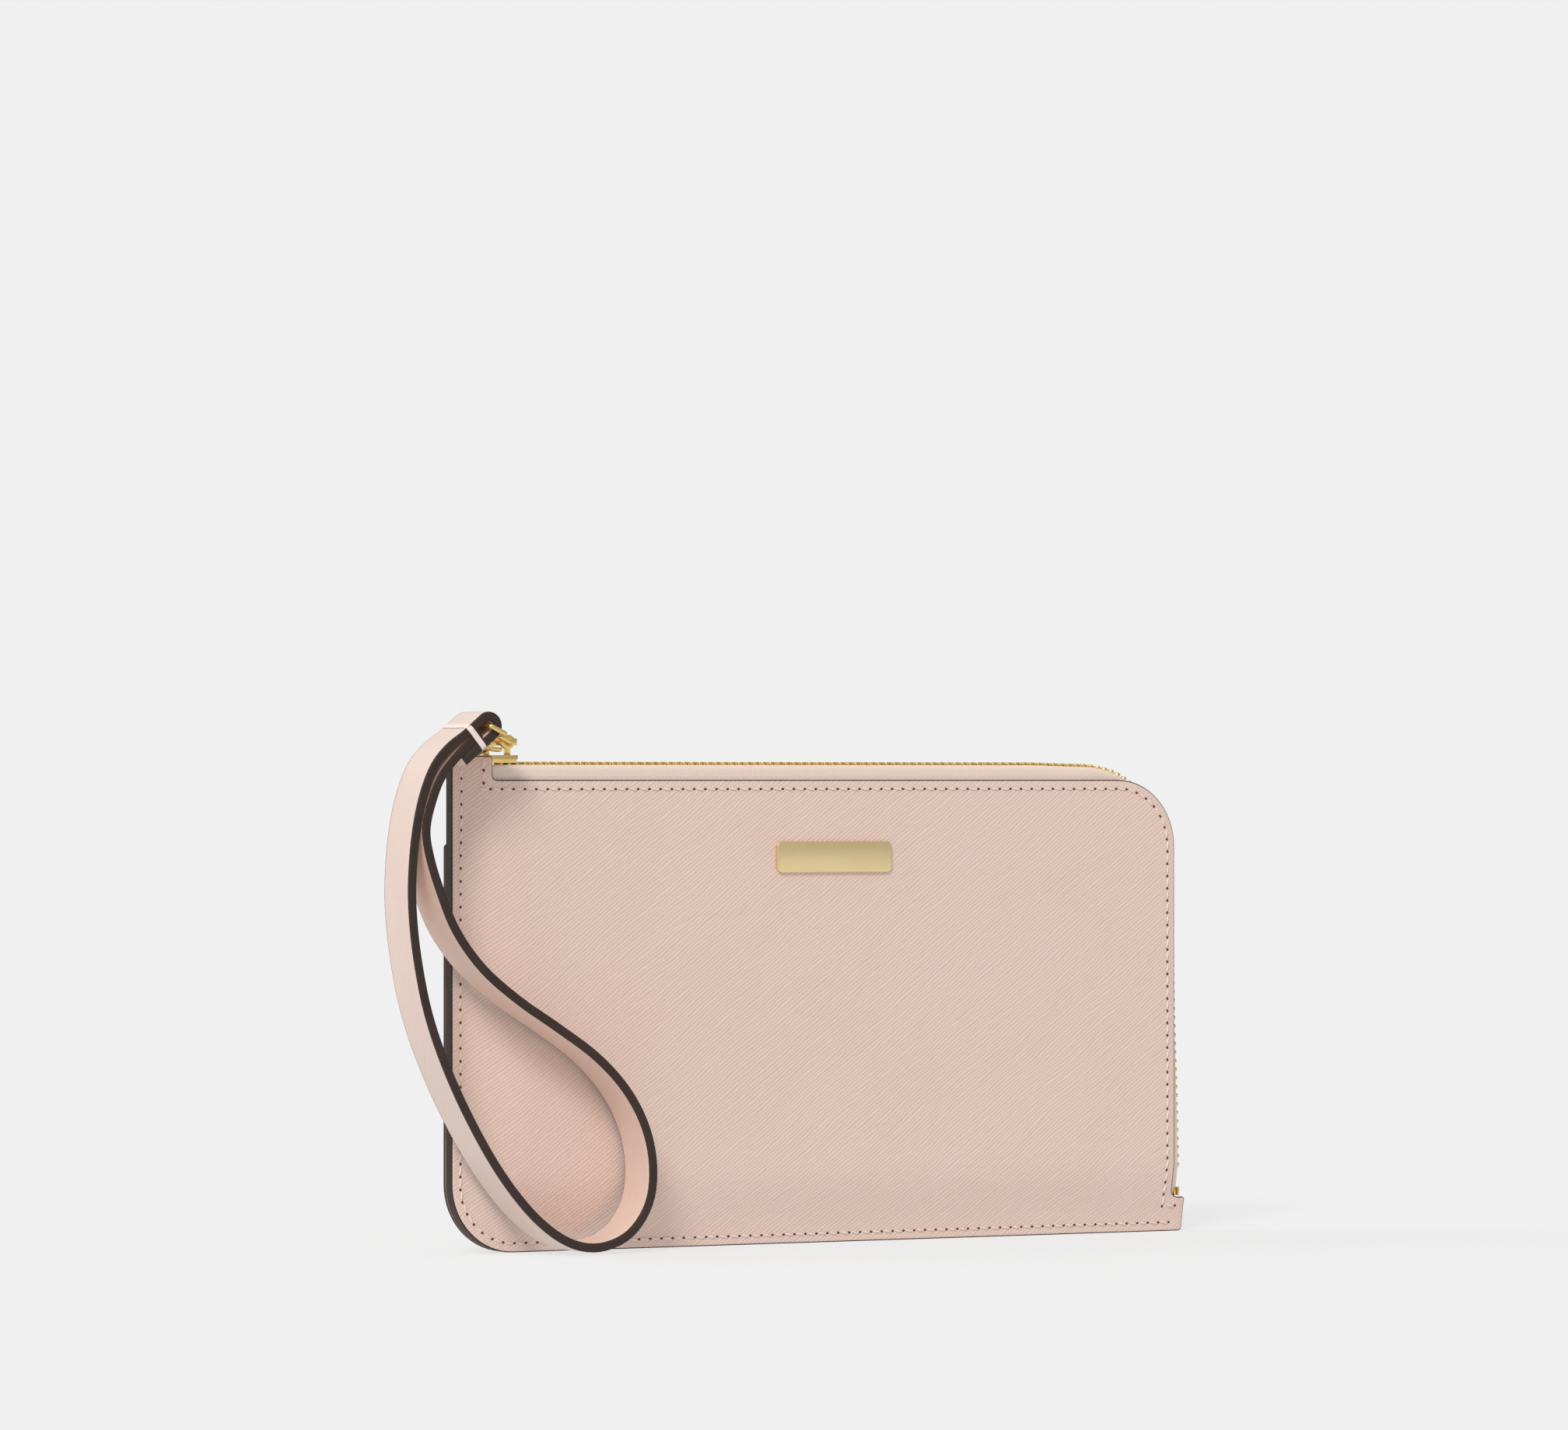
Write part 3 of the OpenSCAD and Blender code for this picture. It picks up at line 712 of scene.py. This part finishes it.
def makeTape(name, side, node):
    bm = bmesh.new()
    across = bm.verts.layers.float.new("across")
    start = []
    for y, depth in tape["section"]:
        vert = bm.verts.new((zipLine["startX"], side * y * mm, zipLine["top"] - depth * mm))
        vert[across] = start[-1][across] + (vert.co - start[-1].co).length if start else 0.0
        start.append(vert)
    row = [bm.edges.new(pair) for pair in zip(start, start[1:])]

    def runOn(edges, distance, count, direction):
        for i in range(count):
            made = bmesh.ops.extrude_edge_only(bm, edges=edges)["geom"]
            verts = [g for g in made if isinstance(g, bmesh.types.BMVert)]
            bmesh.ops.translate(bm, verts=verts, vec=Vector(direction) * (distance / count))
            ends = set(verts)
            edges = [g for g in made if isinstance(g, bmesh.types.BMEdge)
                     and g.verts[0] in ends and g.verts[1] in ends]
        return edges

    row = runOn(row, zipLine["bendX"] - zipLine["startX"], 90, (1, 0, 0))
    ends = list(dict.fromkeys(v for e in row for v in e.verts))
    last = bmesh.ops.spin(bm, geom=ends + row, cent=(zipLine["bendX"], 0, zipLine["bendZ"]),
                          axis=(0, 1, 0), angle=math.pi / 2, steps=26, use_merge=False)["geom_last"]
    row = [g for g in last if isinstance(g, bmesh.types.BMEdge)]
    runOn(row, zipLine["bendZ"] - zipLine["endZ"], 44, (0, 0, -1))
    faceOut(bm)
    if sum(f.normal.y * f.calc_area() for f in bm.faces) * side < 0:
        bmesh.ops.reverse_faces(bm, faces=bm.faces[:])
    bmesh.ops.solidify(bm, geom=bm.faces[:], thickness=tape["thick"])
    for vert in bm.verts:        # squeezed flat where the body is thin
        x, y, z = vert.co
        wall = halfThick(min(x, wallet["panelRight"]), min(z, wallet["panelTop"])) - skin - 0.1 * mm
        vert.co = (x - pulled(x, z), y * min(1.0, wall / tape["halfW"]), z - lowered(x, z))
    run = bm.loops.layers.uv.new("run")
    for face in bm.faces:
        for loop in face.loops:
            at = loop.vert.co
            loop[run].uv = (zipRun(at.x, at.z), loop.vert[across])
    addObject(name, bm, [tapeWeave], "wallet_body", [node], "zip_tape", sharp=50)


def zipPlaces(phase):
    # a matrix for each tooth: local x runs along the zip and local z points out of it
    straight = zipLine["bendX"] - zipLine["firstTooth"]
    arc = math.pi / 2 * zipLine["bend"]
    total = straight + arc + zipLine["bendZ"] - zipLine["lastTooth"]
    for i in range(int(total / zipLine["toothPitch"]) - 1):
        s = (i + phase) * zipLine["toothPitch"]
        turn = min(max((s - straight) / zipLine["bend"], 0.0), math.pi / 2)
        spot = Vector((zipLine["firstTooth"] + s, 0, zipLine["top"]))
        if s > straight:
            spot = Vector((zipLine["bendX"] + zipLine["bend"] * math.sin(turn), 0,
                           zipLine["bendZ"] + zipLine["bend"] * math.cos(turn)
                           - max(s - straight - arc, 0.0)))
        spot.z -= lowered(spot.x, spot.z)
        spot.x -= pulled(spot.x, spot.z)
        yield Matrix.Translation(spot) @ Matrix.Rotation(turn, 4, "Y")


tooth = {"wide": 1.1 * mm, "high": toothHalf * 2, "head": 0.9 * mm, "foot": 2.9 * mm,
         "ease": 0.26 * mm}


def makeTeeth(name, side, phase, node):
    one = bmesh.new()
    made = bmesh.ops.create_cube(one, size=1.0)["verts"]
    long = tooth["head"] + tooth["foot"]
    bmesh.ops.scale(one, verts=made, vec=(tooth["wide"], long, tooth["high"]))
    bmesh.ops.translate(one, verts=made, vec=(0, side * (long / 2 - tooth["head"]), 0))
    head = [v for v in one.verts if v.co.y * side < 0]
    bmesh.ops.scale(one, verts=head, vec=(0.82, 1, 0.84))
    bmesh.ops.bevel(one, geom=one.edges[:], offset=tooth["ease"], offset_type="OFFSET", segments=2,
                    profile=0.5, affect="EDGES", clamp_overlap=True, material=-1)
    pattern = bpy.data.meshes.new(name + "One")
    one.to_mesh(pattern)
    one.free()
    bm = bmesh.new()
    for matrix in zipPlaces(phase):
        before = len(bm.verts)
        bm.from_mesh(pattern)
        bm.verts.ensure_lookup_table()
        bmesh.ops.transform(bm, matrix=matrix, verts=bm.verts[before:])
    bpy.data.meshes.remove(pattern)
    addObject(name, bm, [teethGold], "wallet_body", [node], "zip_metal", sharp=60)


makeTape("zipTapeFront", -1, "zip_tape_front")
makeTape("zipTapeBack", 1, "zip_tape_back")
makeTeeth("zipTeethFront", -1, 0.0, "zip_teeth_front")
makeTeeth("zipTeethBack", 1, 0.5, "zip_teeth_back")
refined("zip_top_stops", "zipTopStops", teethGold, "wallet_body", "zip_metal", 0.12 * mm)
refined("zip_bottom_stop", "zipBottomStop", teethGold, "wallet_body", "zip_metal", 0.15 * mm)
print("zip made")


# metal parts

refined("slider_body", "sliderBody", gold, "slider", "gold_metal", 0.22 * mm, 3)
refined("slider_bridge", "sliderBridge", gold, "slider", "gold_metal", 0.16 * mm, 3)
refined("puller", "pullerTab", gold, "puller", "gold_metal", 0.14 * mm, 3)
refined("clasp_body", "claspBody", gold, "clasp", "gold_metal", 0.12 * mm, 2, 50)
refined("clasp_trigger", "claspTrigger", gold, "trigger", "gold_metal", 0.1 * mm, 2, 50)
refined("trigger_pin", "triggerPin", steel, "clasp", "spring_steel", 0.06 * mm)
refined("trigger_spring", "triggerSpring", steel, "clasp", "spring_steel", 0.02 * mm)
refined("emblem_plate", "emblemPlate", plateGold, "wallet_body", "gold_metal", 0.2 * mm, 3)
refined("emblem_washers", "emblemWashers", teethGold, "wallet_body", "gold_metal", 0.06 * mm)

linkRing = {"wire": 0.6 * mm, "r": 1.7 * mm, "long": 5 * mm, "tilt": math.radians(12)}
near = jointAt["link_swing"]
out = Vector((0, -math.cos(linkRing["tilt"]), math.sin(linkRing["tilt"])))
up = Vector((0, math.sin(linkRing["tilt"]), math.cos(linkRing["tilt"])))
r, far = linkRing["r"], linkRing["long"] + linkRing["r"]
oblong = [near + out * a + up * b for a, b in ((-r, -r), (far, -r), (far, r), (-r, r))]
wirePiece("linkRing", rounded(oblong, [r * 0.999] * 4, True, 12), linkRing["wire"], gold, "link",
          ["link_ring"])

strapRing = {"wire": 0.66 * mm, "shoulder": 4.55 * mm, "neck": 4.0 * mm, "spare": 0.85 * mm,
             "low": (-16.4 * mm, -12.9 * mm)}
barAt, eyeAt = jointAt["strap_swing"], jointAt["ring_swing"]
barHalf = (strapHigh.y - strapLow.y) / 2 + strapRing["spare"]
fall = Vector((eyeAt.x - barAt.x, 0, eyeAt.z - barAt.z))
corner = [barAt + Vector((0, s * barHalf, 0)) for s in (-1, 1)]
shoulder = [c + fall.normalized() * strapRing["shoulder"] for c in corner]
low = [Vector((eyeAt.x, y, eyeAt.z)) for y in strapRing["low"]]
neck = [p - fall.normalized() * strapRing["neck"] for p in low]
outline = [corner[0], shoulder[0], neck[0], low[0], low[1], neck[1], shoulder[1], corner[1]]
bends = [0.8 * mm, 0.8 * mm, 0.5 * mm, 0.6 * mm]
wirePiece("strapRing", rounded(outline, bends + bends[::-1], True, 6), strapRing["wire"], gold, "ring",
          ["strap_ring"])
print("metal parts made")


# wrist strap

strap = {
    "ply": 1.15 * mm,
    "foldR": 2.5 * mm,
    "foldAngle": math.radians(219.5),
    "tail": 11 * mm,
    "straight": 6 * mm,
    "tuck": (9 * mm, 2.9 * mm),
    "loop": [(-118.6, 128), (-122.6, 123.4), (-125.6, 116.5), (-127.6, 108), (-128.7, 98), (-128.8, 88),
             (-127.5, 76), (-124.5, 62), (-119.5, 48.5), (-112.5, 34.5), (-104, 21), (-94.5, 10),
             (-85, 3.4), (-76, 1.8), (-67.5, 5), (-62, 12.5), (-60.8, 22), (-63, 32),
             (-68.5, 41.5), (-77, 50), (-88, 57.5), (-99, 64.5), (-109, 72.5), (-116.5, 82),
             (-121, 92), (-124, 101), (-124.9, 108), (-122.8, 116), (-119.9, 121.8)],
    "smoothing": 5,
    "across": 6,
    "round": 0.42 * mm,
}


def through(points, count):
    # a smooth line through points, leaving out the first and last stretch
    line = []
    for a, b, c, d in zip(points, points[1:], points[2:], points[3:]):
        for k in range(count):
            t = k / count
            line.append(0.5 * (2 * b + (c - a) * t + (2 * a - 5 * b + 4 * c - d) * t * t
                               + (3 * b - a - 3 * c + d) * t ** 3))
    return line


def strapLine():
    bar = Vector((barAt.x, barAt.z))
    away = Vector((math.cos(strap["foldAngle"]), math.sin(strap["foldAngle"])))
    normal = Vector((away.y, -away.x))
    first = bar + normal * strap["foldR"]
    tucks = [bar + away * t for t in strap["tuck"]]
    line = [bar - normal * strap["foldR"] + away * (strap["tail"] * (1 - k / 4)) for k in range(4)]
    for k in range(25):
        a = strap["foldAngle"] + math.pi / 2 + math.pi * k / 24
        line.append(bar + Vector((math.cos(a), math.sin(a))) * strap["foldR"])
    loop = [Vector(p) * mm for p in strap["loop"]]
    line += through([first, first + away * strap["straight"]] + loop + tucks, strap["smoothing"])
    return line + tucks


def makePly(sign):
    # one ply: a ribbon along the strap's middle line, thickened to one side of it
    line = strapLine()
    walked = [0.0]
    for a, b in zip(line, line[1:]):
        walked.append(walked[-1] + (b - a).length)
    bm = bmesh.new()
    along = bm.verts.layers.float.new("along")
    wide = strapHigh.y - strapLow.y
    chain = []
    for point, distance in zip(line, walked):
        vert = bm.verts.new((point.x, strapLow.y, point.y))
        vert[along] = distance
        chain.append(vert)
    edges = [bm.edges.new(pair) for pair in zip(chain, chain[1:])]
    for i in range(strap["across"]):
        made = bmesh.ops.extrude_edge_only(bm, edges=edges)["geom"]
        verts = [g for g in made if isinstance(g, bmesh.types.BMVert)]
        bmesh.ops.translate(bm, verts=verts, vec=(0, wide / strap["across"], 0))
        ends = set(verts)
        edges = [g for g in made if isinstance(g, bmesh.types.BMEdge)
                 and g.verts[0] in ends and g.verts[1] in ends]
    faceOut(bm)
    run = line[1] - line[0]
    inward = Vector((-run.y, 0, run.x))
    tailEnd = Vector((line[0].x, strapLow.y, line[0].y))
    first = min(bm.faces, key=lambda f: (f.calc_center_median() - tailEnd).length)
    if first.normal.dot(inward) * sign > 0:
        bmesh.ops.reverse_faces(bm, faces=bm.faces[:])
    middle = bm.faces[:]
    bmesh.ops.solidify(bm, geom=bm.faces[:], thickness=strap["ply"])
    bm.normal_update()
    return bm, middle, along


for name, sign, node, material, slot in (
        ("strapOuterPly", -1, "strap_outer_ply", strapLeather, "strap_leather"),
        ("strapInnerPly", 1, "strap_inner_ply", strapLining, "strap_lining")):
    bm, middle, along = makePly(sign)
    run = bm.loops.layers.uv.new("run")
    centre = (strapHigh.y + strapLow.y) / 2
    kept = set(middle)
    for face in bm.faces:
        for loop in face.loops:
            loop[run].uv = (loop.vert[along], loop.vert.co.y - centre)
        if abs(face.normal.y) > 0.7:
            face.material_index = 1
    rims = [e for e in bm.edges if len(e.link_faces) == 2
            and {f.material_index for f in e.link_faces} == {0, 1}
            and not any(f in kept for f in e.link_faces)]
    bmesh.ops.bevel(bm, geom=rims, offset=strap["round"], offset_type="OFFSET", segments=4,
                    profile=0.5, affect="EDGES", clamp_overlap=True, material=1)
    addObject(name, bm, [material, edge], "strap", [node], slot, sharp=50)

band = {"at": 4.6 * mm, "long": 1.5 * mm, "thick": 0.3 * mm, "clear": 0.04 * mm, "corner": 1.3 * mm,
        "ease": 0.1 * mm}
away = Vector((math.cos(strap["foldAngle"]), 0, math.sin(strap["foldAngle"])))
over = Vector((-away.z, 0, away.x))
halfH = strap["foldR"] + strap["ply"] + band["clear"]
halfW = (strapHigh.y - strapLow.y) / 2 + band["clear"]
middle = Vector((barAt.x, (strapHigh.y + strapLow.y) / 2, barAt.z)) + away * (band["at"] - band["long"] / 2)
loop = rounded([middle + over * (a * halfH) + Vector((0, b * halfW, 0))
                for a, b in ((-1, -1), (1, -1), (1, 1), (-1, 1))], [band["corner"]] * 4, True, 8)
bm = bmesh.new()
verts = [bm.verts.new(p) for p in loop]
edges = [bm.edges.new((a, b)) for a, b in zip(verts, verts[1:] + verts[:1])]
made = bmesh.ops.extrude_edge_only(bm, edges=edges)["geom"]
farEdge = [g for g in made if isinstance(g, bmesh.types.BMVert)]
bmesh.ops.translate(bm, verts=farEdge, vec=away * band["long"])
faceOut(bm)
centre = middle + away * (band["long"] / 2)
if sum((f.calc_center_median() - centre).dot(f.normal) for f in bm.faces) > 0:
    bmesh.ops.reverse_faces(bm, faces=bm.faces[:])
bmesh.ops.solidify(bm, geom=bm.faces[:], thickness=band["thick"])
bm.normal_update()
rims = [e for e in bm.edges if len(e.link_faces) == 2 and e.calc_face_angle(0.0) > math.radians(60)]
bmesh.ops.bevel(bm, geom=rims, offset=band["ease"], offset_type="OFFSET", segments=2, profile=0.5,
                affect="EDGES", clamp_overlap=True, material=-1)
addObject("strapKeeper", bm, [keeper], "strap", ["strap_keeper"], "keeper")
print("strap made")


# floor, light and camera

paper = colour(240, 240, 240)
studio = {"size": 6.0, "glow": 0.968, "matte": 0.22}       # the share of the floor that takes shadows

floorMesh = bmesh.new()
bmesh.ops.create_grid(floorMesh, x_segments=1, y_segments=1, size=studio["size"])
floorData = bpy.data.meshes.new("studioFloor")
floorMesh.to_mesh(floorData)
floorMesh.free()
floor = bpy.data.objects.new("studioFloor", floorData)
bpy.context.scene.collection.objects.link(floor)
floorPaint, root, place = startMaterial("studioFloor")
shader = floorPaint.node_tree.nodes["Principled BSDF"]
shader.inputs["Base Color"].default_value = paper
shader.inputs["Roughness"].default_value = 0.9
shader.inputs["Specular IOR Level"].default_value = 0.0
glow = root.node("ShaderNodeEmission", {}, {"Color": paper, "Strength": studio["glow"]})
both = root.node("ShaderNodeMixShader", {},
                 {0: studio["matte"], 1: glow, 2: Wire(root.tree, shader.outputs[0])})
root.tree.links.new(both.socket, root.tree.nodes["Material Output"].inputs["Surface"])
floorData.materials.append(floorPaint)


def softSun(name, place, strength, spread):
    # even light from one direction, as soft as a wide studio panel
    light = bpy.data.lights.new(name, "SUN")
    light.energy = strength
    light.angle = math.radians(spread)
    lamp = bpy.data.objects.new(name, light)
    lamp.location = place
    lamp.rotation_euler = (-Vector(place)).to_track_quat("-Z", "Y").to_euler()
    bpy.context.scene.collection.objects.link(lamp)


softSun("keyLight", (-0.75, -0.75, 0.9), 1.6, 16)
softSun("rimLight", (-0.75, 0.55, 0.75), 0.8, 30)

world = bpy.data.worlds.new("studio")
world.use_nodes = True
bpy.context.scene.world = world
worldTree = world.node_tree
sky = Wire(worldTree)
heading = sky.node("ShaderNodeTexCoord", {}, {}, "Generated").parts()
glowing = heading[2].step(-0.1, 0.75) * 0.22 + (1.0 - heading[0]) * 0.09        # brighter up and left
glowing = glowing + (1.0 - heading[1]) * 0.08 + 0.26        # and in front
ambient = sky.node("ShaderNodeCombineXYZ", {}, {0: glowing, 1: glowing, 2: glowing})
seen = sky.node("ShaderNodeLightPath", {}, {}, "Is Camera Ray")
backdrop = mixed(sky, seen, ambient, paper)
worldTree.links.new(backdrop.socket, worldTree.nodes["Background"].inputs["Color"])

camera = bpy.data.cameras.new("camera")
camera.lens = 178.9
camera.sensor_width = 36
camera.clip_start, camera.clip_end = 0.05, 50
cameraObject = bpy.data.objects.new("camera", camera)
cameraObject.location = (-0.9898, -1.7648, 0.1199)
cameraObject.rotation_euler = (math.radians(90.4775), 0, math.radians(-29))
bpy.context.scene.collection.objects.link(cameraObject)
bpy.context.scene.camera = cameraObject
bpy.context.scene.view_settings.view_transform = "Standard"
print("studio ready")

bpy.context.view_layer.update()
